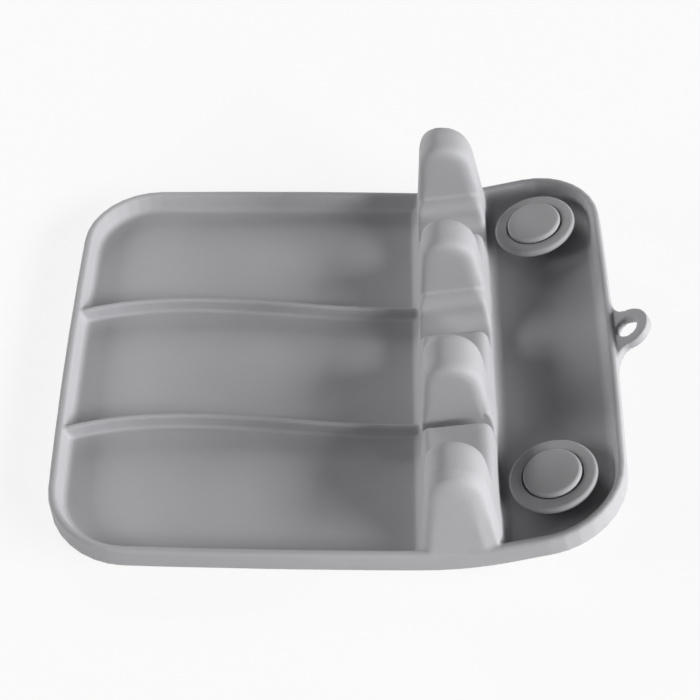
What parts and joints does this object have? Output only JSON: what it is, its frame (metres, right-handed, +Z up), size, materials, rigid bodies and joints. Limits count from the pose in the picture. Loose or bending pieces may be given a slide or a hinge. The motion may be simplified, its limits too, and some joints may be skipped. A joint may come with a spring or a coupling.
{
  "type": "spoon rest tray",
  "caption": "Grey silicone spoon rest: a rimmed drip tray with wavy ribs, a comb of towers with handle notches, and a raised wing on push-in suction feet with a hanging lug.",
  "frame": {"origin": "middle of the tray's flat underside, where it lies on the worktop", "axes": "+X runs from the drip tray over the comb to the raised wing, +Y to the back of the picture, +Z up from the worktop"},
  "size_m": [0.2338, 0.1998, 0.051],
  "materials": {
    "tray_silicone": "satin",
    "foot_silicone": "satin"
  },
  "bodies": {
    "tray": {"tray_body": "tray_silicone"},
    "rear_foot": {"suction_foot_rear": "foot_silicone", "foot_flange_rear": "foot_silicone"},
    "front_foot": {"suction_foot_front": "foot_silicone", "foot_flange_front": "foot_silicone"}
  },
  "joints": [
    {"name": "rear_foot_slide", "type": "slide", "parent": "tray", "child": "rear_foot", "axis": [-0.284, 0, 0.9588], "range_m": [-0.0026, 0]},
    {"name": "front_foot_slide", "type": "slide", "parent": "tray", "child": "front_foot", "axis": [-0.284, 0, 0.9588], "range_m": [-0.0026, 0]}
  ]
}
